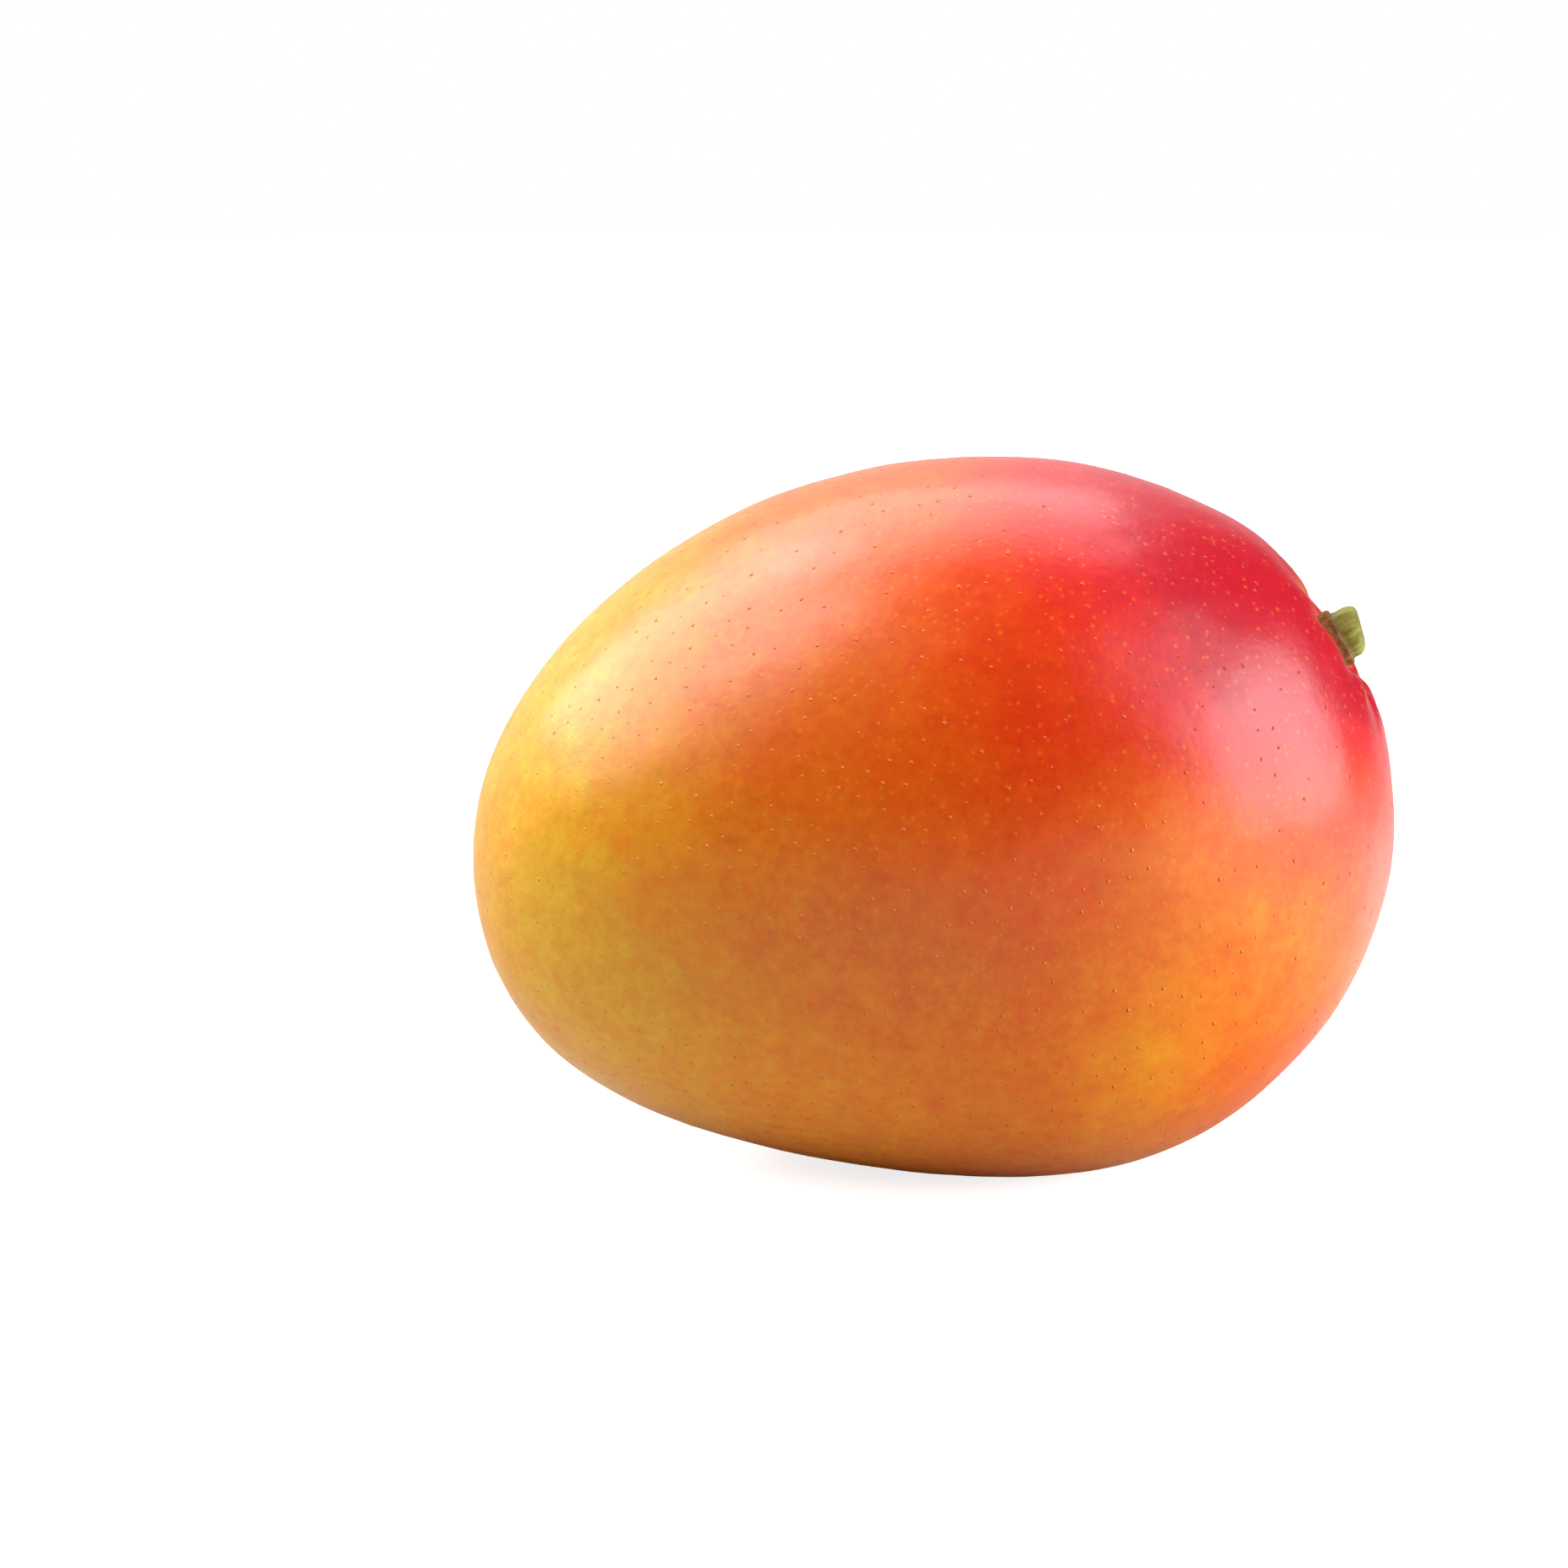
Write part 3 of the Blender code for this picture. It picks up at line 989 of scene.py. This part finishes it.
def make_skin_material():
    """Waxy skin with its blush, flecks and pores, and painted bounce light low down."""
    made, shader, place = new_material("mango_skin", SKIN_FINISH)
    skin = put_group(blush, {"Place": place})
    flecks = put_group(speckle, {"Place": place, "Size": 0.8 * MM, "Seed": 3.1})
    dots = put_group(pores, {"Place": place, "Spacing": 1.25 * MM, "Width": 0.3})
    x, _, z = parts_of(place)
    # pale is painted bounce light: the colour is made lighter low down, more towards the beak.
    pale = total(LOW_PAINTED_BOUNCE, (smooth(x, *PAINTED_BOUNCE_BEAK_SIDE), BEAK_PAINTED_BOUNCE))
    value = total(1.0, *weighted(flecks, SKIN_SHADE), (smooth(z, *PAINTED_BOUNCE_LOW_RANGE), pale))
    shade = put("ShaderNodeHueSaturation", {"Value": value, "Color": skin["Color"]})
    spots = product(dots["Spot"], PORE_SHARE)
    height = total(0.0, *weighted(flecks, SKIN_RELIEF), (dots["Spot"], PORE_RELIEF))
    connect(shader, {
        "Base Color": mixed(spots, shade.outputs["Color"], PORE_COLOUR),
        "Roughness": total(0.35, (flecks["Broad"], 0.03), (skin["Russet"], 0.22)),
        "Coat Weight": total(0.25, (skin["Russet"], -0.22)),
        "Normal": bumped(height, distance=0.06 * MM, strength=0.6),
    })
    return made


skin_material = make_skin_material()
print("material", skin_material.name)

# %% [markdown]
# ## Finish of the lenticels
# A lenticel is a fleck of dry cork. It is paler than red skin and a touch browner than yellow
# skin, and has less gloss. Its colour starts from the same blush group, so the dots belong to
# the skin.

# %% Material: lenticels
LENTICEL_FINISH = {"Specular IOR Level": 0.3, "Coat Weight": 0.15}
CORK_SHARE = 0.16


def make_lenticel_material():
    """Dry pale cork, tinted by the skin round it."""
    made, shader, place = new_material("lenticel_cork", LENTICEL_FINISH)
    skin = put_group(blush, {"Place": place, "Fray": 0.5})
    flecks = put_group(speckle, {"Place": place, "Size": 2.0 * MM, "Seed": 7.7})
    cork = mixed(skin["Redness"], colour(200, 142, 44), colour(222, 106, 34))
    share = total(CORK_SHARE, (flecks["Fine"], CORK_SHARE))
    connect(shader, {
        "Base Color": mixed(share, skin["Color"], cork),
        "Roughness": total(0.4, (flecks["Fine"], 0.06)),
    })
    return made


lenticel_material = make_lenticel_material()
print("material", lenticel_material.name)

# %% [markdown]
# ## Finishes of the stub
# The stalk is olive green bark that browns towards the fruit, with paler ribs and fine lengthwise
# fibres. Its cut end has dried to a greyish tan, with a darker ring under the bark and a dark
# pith. The collar is rough brown cork. All three read the stem frame, so their rings and fibres
# follow the stalk.

# %% Material: stalk bark and its cut end
FIBRE_SIZE, FIBRE_SEED, FIBRE_DETAIL = 0.5 * MM, 0.4, 4.0
FIBRE_SPAN = (-0.7, 0.7)
FIBRE_RELIEF, FLECK_RELIEF = 0.8, 0.5
PALE_FLECKS = (0.25, 0.8)
BROWN_SHARE = 0.85
BROWN_FOOT = (2.6 * MM, 1.3 * MM)
FOOT_FRAY = 0.5 * MM
CUT_EDGE = (2.75 * MM, 2.45 * MM)
CUT_FACING = (0.35, 0.75)
PITH_EDGE = (0.75 * MM, 0.4 * MM)
DARK_RING = (2.0 * MM, 2.4 * MM)
RING_PITCH, RING_STRENGTH = 9000.0, 0.25


def put_cut_wood(radius):
    """The colour of the cut end: tan rings, a dark pith and a darker ring under the bark."""
    ring = calc("SINE", product(radius, RING_PITCH))
    wood = mixed(total(0.5, (ring, RING_STRENGTH)), colour(142, 128, 78), colour(176, 164, 112))
    wood = mixed(smooth(radius, *PITH_EDGE), wood, colour(84, 64, 36))
    return mixed(smooth(radius, *DARK_RING), wood, colour(98, 92, 40))


def make_bark_material():
    """Olive bark, browner at its foot, with the dry cut end at its top."""
    made, shader, place = new_material("stalk_bark", {"Specular IOR Level": 0.35})
    stem = put_group(stem_frame, {"Place": place})
    flecks = put_group(speckle, {"Place": place, "Size": 0.35 * MM, "Seed": 1.3})
    streak = waves(stem["Round"], FIBRE_SIZE, FIBRE_SEED, FIBRE_DETAIL)
    green = mixed(smooth(streak, *FIBRE_SPAN), colour(98, 98, 24), colour(142, 142, 52))
    foot = smooth(total(stem["Height"], (flecks["Broad"], FOOT_FRAY)), *BROWN_FOOT)
    bark = mixed(product(foot, BROWN_SHARE), green, colour(92, 58, 24))
    bark = mixed(smooth(flecks["Fine"], *PALE_FLECKS), bark, colour(168, 160, 92))
    facing = put("ShaderNodeNewGeometry", tree=made.node_tree).outputs["Normal"]
    upward = measure("DOT_PRODUCT", facing, STEM_AXES[2])
    inside = smooth(stem["Radius"], *CUT_EDGE)
    end = product(smooth(upward, *CUT_FACING), inside)
    height = total(product(flecks["Fine"], FLECK_RELIEF), (streak, FIBRE_RELIEF))
    connect(shader, {
        "Base Color": mixed(end, bark, put_cut_wood(stem["Radius"])),
        "Roughness": total(0.62, (flecks["Fine"], 0.1)),
        "Normal": bumped(height, distance=0.08 * MM, strength=0.8),
    })
    return made


bark_material = make_bark_material()
print("material", bark_material.name)

# %% Material: collar cork
PALE_FOOT, PALE_SHARE = (1.3 * MM, 0.6 * MM), 0.5
CRUMBS = (0.2, 0.8)


def make_cork_material():
    """Rough brown cork with pale crumbs."""
    made, shader, place = new_material("collar_cork", {"Specular IOR Level": 0.2})
    stem = put_group(stem_frame, {"Place": place})
    flecks = put_group(speckle, {"Place": place, "Size": 0.4 * MM, "Seed": 5.9})
    cork = mixed(smooth(flecks["Broad"], *FLECK_SPAN), colour(78, 50, 24), colour(128, 90, 48))
    cork = mixed(smooth(flecks["Fine"], *CRUMBS), cork, colour(176, 134, 84))
    low = product(smooth(stem["Height"], *PALE_FOOT), PALE_SHARE)
    height = calc("ADD", flecks["Fine"], flecks["Broad"])
    connect(shader, {
        "Base Color": mixed(low, cork, colour(168, 116, 66)),
        "Roughness": total(0.78, (flecks["Fine"], 0.08)),
        "Normal": bumped(height, distance=0.12 * MM, strength=0.9),
    })
    return made


cork_material = make_cork_material()
print("material", cork_material.name)

# %% [markdown]
# ## Growing the pieces
# Each tree is run by a modifier on an empty object. Its inputs are set by their identifiers before
# Blender first works the tree out. The result is then kept as a plain mesh, and the modifier goes.
# A mesh made by nodes starts with an empty material slot, which goes too.

# %% Run the trees
def grow(name, tree, values):
    """Runs a tree with the named values and keeps what it makes as a plain mesh object."""
    made = new_object(name, bpy.data.meshes.new(name + "_start"))
    modifier = made.modifiers.new(name, "NODES")
    modifier.node_group = tree
    for item in tree.interface.items_tree:
        if item.item_type == "SOCKET" and item.in_out == "INPUT" and item.name in values:
            modifier[item.identifier] = values[item.name]
    graph = bpy.context.evaluated_depsgraph_get()
    mesh = bpy.data.meshes.new_from_object(made.evaluated_get(graph), depsgraph=graph)
    mesh.name = name
    while len(mesh.materials) > 1:
        mesh.materials.pop(index=0)
    made.modifiers.clear()
    made.data = mesh
    mesh.calc_loop_triangles()
    print(name, "triangles", len(mesh.loop_triangles), "materials", [m.name for m in mesh.materials])
    return made


fruit_skin = grow("fruit_skin", skin_tree, {"Guide": shape_guide, "Finish": skin_material})

# %% Lenticels on the finished skin
lenticels = grow("lenticels", lenticel_tree, {"Skin": fruit_skin, "Finish": lenticel_material})

# %% Stalk and collar
stub_values = {"Move": STEM_SEAT, "Turn": tuple(STEM_PLACE.to_euler())}
stalk_values = stub_values | {"Profile": stalk_guide, "Cut Slope": CUT_SLOPE, "Finish": bark_material}
collar_values = stub_values | {
    "Profile": collar_guide,
    "Rib Count": 13.0,
    "Rib Depth": 0.08 * MM,
    "Knob Size": 0.8 * MM,
    "Knob Depth": 0.16 * MM,
    "Seed": 4.6,
    "Finish": cork_material,
}
stem_stalk = grow("stem_stalk", turned_tree, stalk_values)
stem_collar = grow("stem_collar", turned_tree, collar_values)

# %% Take the guides away
for guide in (shape_guide, stalk_guide, collar_guide):
    bpy.data.objects.remove(guide)

# %% [markdown]
# ## What each piece stands for
# The skin takes the place of the model's fruit and the stalk takes the place of its stem. The
# lenticels and the collar are additions to them. All of them move with the one body.

# %% Tie the pieces to the body
for piece in (fruit_skin, lenticels, stem_stalk, stem_collar):
    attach(piece, BODY)
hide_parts("fruit")
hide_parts("stem")
print("riding on", BODY)

# %% [markdown]
# ## Floor
# A plain white floor, large enough that its far edge lies past everything a camera sees. To the
# camera it glows a little, so that it is as white as the backdrop. To the fruit it is a grey
# card, darker on the left and softly lit on the right, which gives the underside and the right
# rim the same light from below as in the photo.

# %% Floor
FLOOR_RADIUS = 1.2
FLOOR_SIDES = 96
FLOOR_GLOW = 0.8
RIGHT_GLOW = 1.2
RIGHT_SIDE = (0.05, 0.18)
RIGHT_DEPTH = (0.22, 0.06)
LEFT_SIDE = (-0.14, 0.0)


def grey(level):
    """A grey of the given linear level."""
    return (level, level, level, 1.0)


def camera_sees(tree):
    """1 where the camera looks straight at a surface, and 0 for the light that it throws."""
    return tree.nodes.new("ShaderNodeLightPath").outputs["Is Camera Ray"]


FLOOR_FINISH = {"Roughness": 1.0, "Specular IOR Level": 0.0, "Emission Color": grey(1.0)}
LEFT_GREY, RIGHT_GREY, PAPER_WHITE = grey(0.28), grey(0.42), grey(0.9)


def make_floor_material():
    """White paper to the camera, and a grey card with a soft glow to the fruit."""
    paper, shader, place = new_material("floor_paper", FLOOR_FINISH)
    seen = camera_sees(paper.node_tree)
    x, y, _ = parts_of(place)
    thrown_glow = product(smooth(x, *RIGHT_SIDE), smooth(y, *RIGHT_DEPTH), RIGHT_GLOW)
    glow_sockets = {0: seen, 2: thrown_glow, 3: FLOOR_GLOW}
    thrown = mixed(smooth(x, *LEFT_SIDE), LEFT_GREY, RIGHT_GREY)
    connect(shader, {
        "Base Color": mixed(seen, thrown, PAPER_WHITE),
        "Emission Strength": put("ShaderNodeMix", glow_sockets, data_type="FLOAT").outputs[0],
    })
    return paper


def make_floor():
    """A flat disc under the fruit."""
    mesh = bpy.data.meshes.new("floor")
    turns = [2.0 * math.pi * side / FLOOR_SIDES for side in range(FLOOR_SIDES)]
    rim = [(FLOOR_RADIUS * math.cos(turn), FLOOR_RADIUS * math.sin(turn), 0.0) for turn in turns]
    mesh.from_pydata(rim, [], [list(range(FLOOR_SIDES))])
    mesh.materials.append(make_floor_material())
    return new_object("floor", mesh)


floor = make_floor()
print("floor radius in metres", FLOOR_RADIUS)

# %% [markdown]
# ## Light
# The photo has tall soft lights on both sides and a bright white surround above and behind. The
# camera's side is dark, which keeps the middle of the cheek deep and saturated. Six area lights
# make it: a large one on the left, with a slim one beside it that softens its edge, three that
# overlap on the right for the broad highlight there, and one above and behind for the ridge. The
# surround is the world, brighter behind, and plain white where the camera looks straight at it.

# %% Softboxes
FRUIT_MIDDLE = Vector((0.0, 0.0, 0.046))
BOX_DISTANCE = 0.9

# Name, azimuth and elevation in degrees, width and height in metres, and radiance. Azimuth 0 is
# the camera's side, 90 is +X, and 180 is behind the fruit.
SOFTBOXES = (
    ("softbox_left", -99.0, 43.0, 0.8, 0.82, 7.0),
    ("softbox_front_left", -64.0, 42.0, 0.34, 0.8, 2.2),
    ("softbox_right", 83.0, 15.0, 0.74, 0.62, 8.2),
    ("softbox_upper_right", 67.0, 42.0, 0.7, 0.52, 2.7),
    ("softbox_lower_right", 54.0, 9.0, 0.42, 0.62, 2.6),
    ("softbox_top", -168.0, 61.0, 0.86, 0.66, 3.8),
)


def aimed(name, data, target, distance, azimuth, elevation):
    """An object that stands off a target at an azimuth and an elevation, and looks at it."""
    turn, lift = math.radians(azimuth), math.radians(elevation)
    out = Vector((math.sin(turn) * math.cos(lift), -math.cos(turn) * math.cos(lift), math.sin(lift)))
    made = new_object(name, data)
    made.location = target + distance * out
    made.rotation_euler = out.to_track_quat("Z", "Y").to_euler()
    return made


def add_softbox(name, azimuth, elevation, width, height, radiance):
    """A rectangular light that faces the fruit, hidden from the camera."""
    light = bpy.data.lights.new(name, "AREA")
    light.shape = "RECTANGLE"
    light.size = width
    light.size_y = height
    light.energy = radiance * math.pi * width * height
    aimed(name, light, FRUIT_MIDDLE, BOX_DISTANCE, azimuth, elevation).visible_camera = False
    print(name, "watts", round(light.energy, 1))


for row in SOFTBOXES:
    add_softbox(*row)

# %% World
BACKDROP = (-0.5, 0.84, 0.2)
BACKDROP_RANGE = (0.5, 0.9)
SURROUND_LEAST = 0.01
SURROUND_GAIN = 0.9


def make_world():
    """The surround: bright above and behind, dark on the camera's side, and white to the camera."""
    world = bpy.data.worlds.new("studio")
    world.use_nodes = True
    tree = world.node_tree
    tree.nodes.clear()
    direction = parts_of(tree.nodes.new("ShaderNodeTexCoord").outputs["Generated"])
    behind = measure("DOT_PRODUCT", joined(*direction), BACKDROP)
    bright = total(SURROUND_LEAST, (smooth(behind, *BACKDROP_RANGE), SURROUND_GAIN))
    surround, plain = (
        put("ShaderNodeBackground", {"Color": grey(1.0), "Strength": strength}, tree).outputs[0]
        for strength in (bright, 1.0)
    )
    both = put("ShaderNodeMixShader", {0: camera_sees(tree), 1: surround, 2: plain})
    put("ShaderNodeOutputWorld", {"Surface": both.outputs[0]})
    bpy.context.scene.world = world


make_world()
bpy.context.scene.view_settings.view_transform = "Standard"
print("view transform", bpy.context.scene.view_settings.view_transform)

# %% [markdown]
# ## Camera
# The photo looks at the fruit from slightly to the right and 13 degrees above the floor, from
# about half a metre away. The fruit stands right of the picture's middle, so the camera aims to
# the left of it.

# %% Camera
CAMERA_AZIMUTH = 3.0
CAMERA_ELEVATION = 13.0
CAMERA_DISTANCE = 0.5577
CAMERA_TARGET = Vector((-0.0189, 0.0, 0.0495))
CAMERA_LENS = 100.0
SENSOR_WIDTH = 36.0

camera_data = bpy.data.cameras.new("camera")
camera_data.lens = CAMERA_LENS
camera_data.sensor_width = SENSOR_WIDTH
camera = aimed("camera", camera_data, CAMERA_TARGET, CAMERA_DISTANCE, CAMERA_AZIMUTH, CAMERA_ELEVATION)
bpy.context.scene.camera = camera
print("camera at", [round(part, 4) for part in camera.location])
